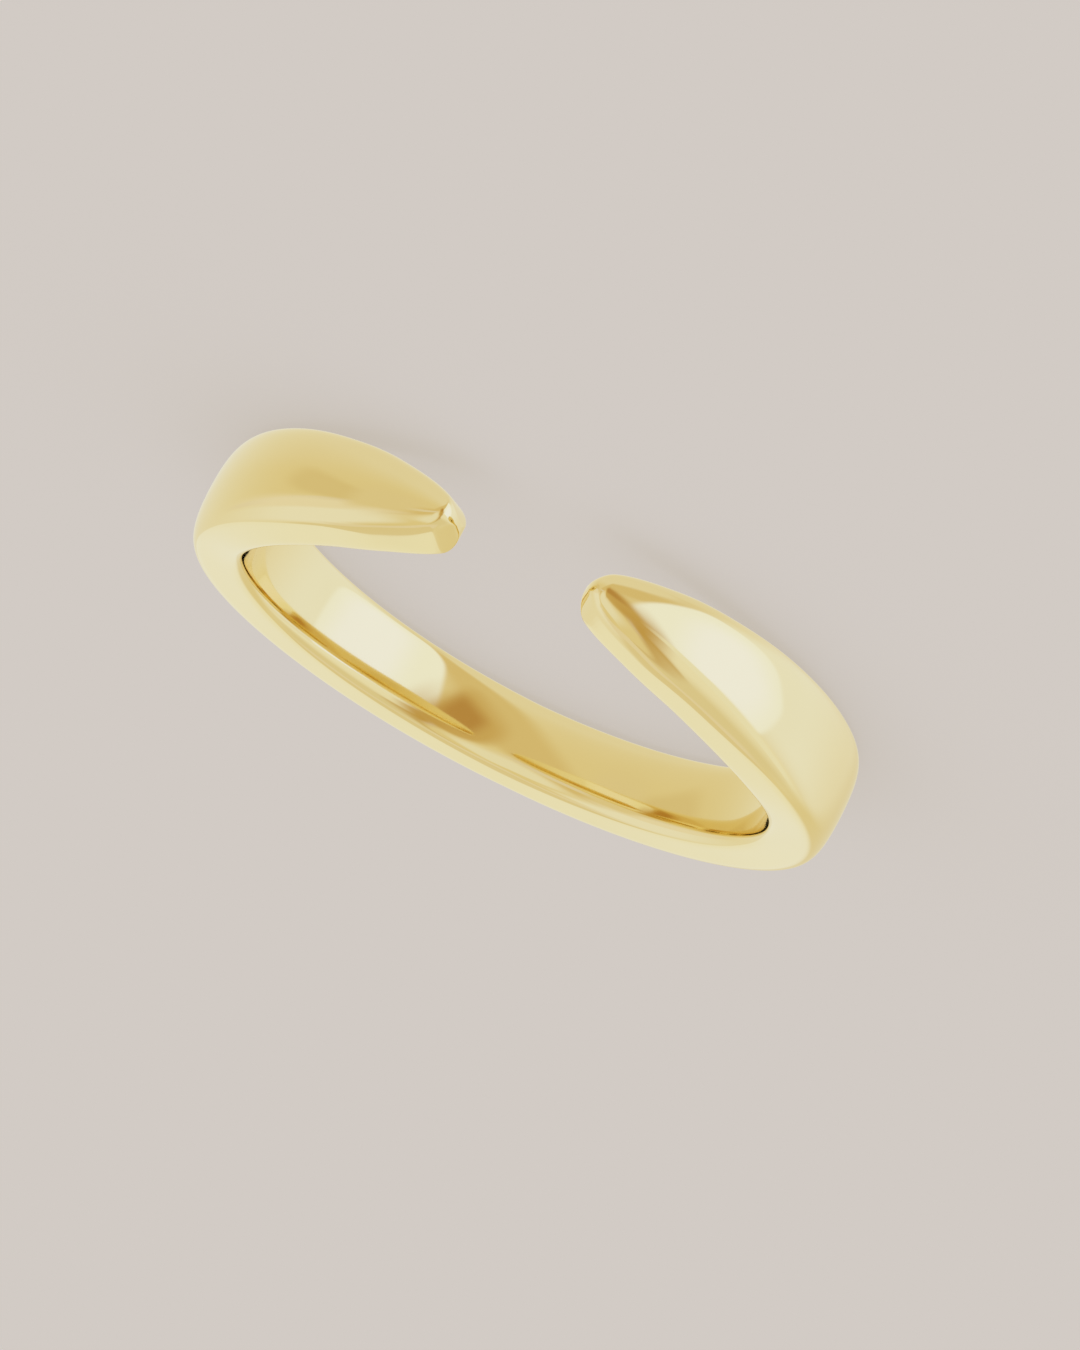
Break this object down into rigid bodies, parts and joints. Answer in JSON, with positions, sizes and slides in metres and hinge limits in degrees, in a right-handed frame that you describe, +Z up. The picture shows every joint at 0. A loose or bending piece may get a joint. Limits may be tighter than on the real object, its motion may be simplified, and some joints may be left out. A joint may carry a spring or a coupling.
{
  "type": "open cuff ring",
  "caption": "Polished gold cuff ring whose band widens from the back to the shoulders and tapers into horn-shaped ends that face each other across an open gap.",
  "frame": {"origin": "centre of the finger hole, midway between the ring's two flanks", "axes": "+Z up as the ring lies on its side, 1.3 degrees from the finger hole's axis; the gap between the ends is on the -Y side and the back of the band on the +Y side"},
  "size_m": [0.0212, 0.0208, 0.0034],
  "materials": {
    "gold": "mirror-polished pale yellow gold, 14 karat"
  },
  "bodies": {
    "root": {"ring": "gold"}
  },
  "joints": []
}
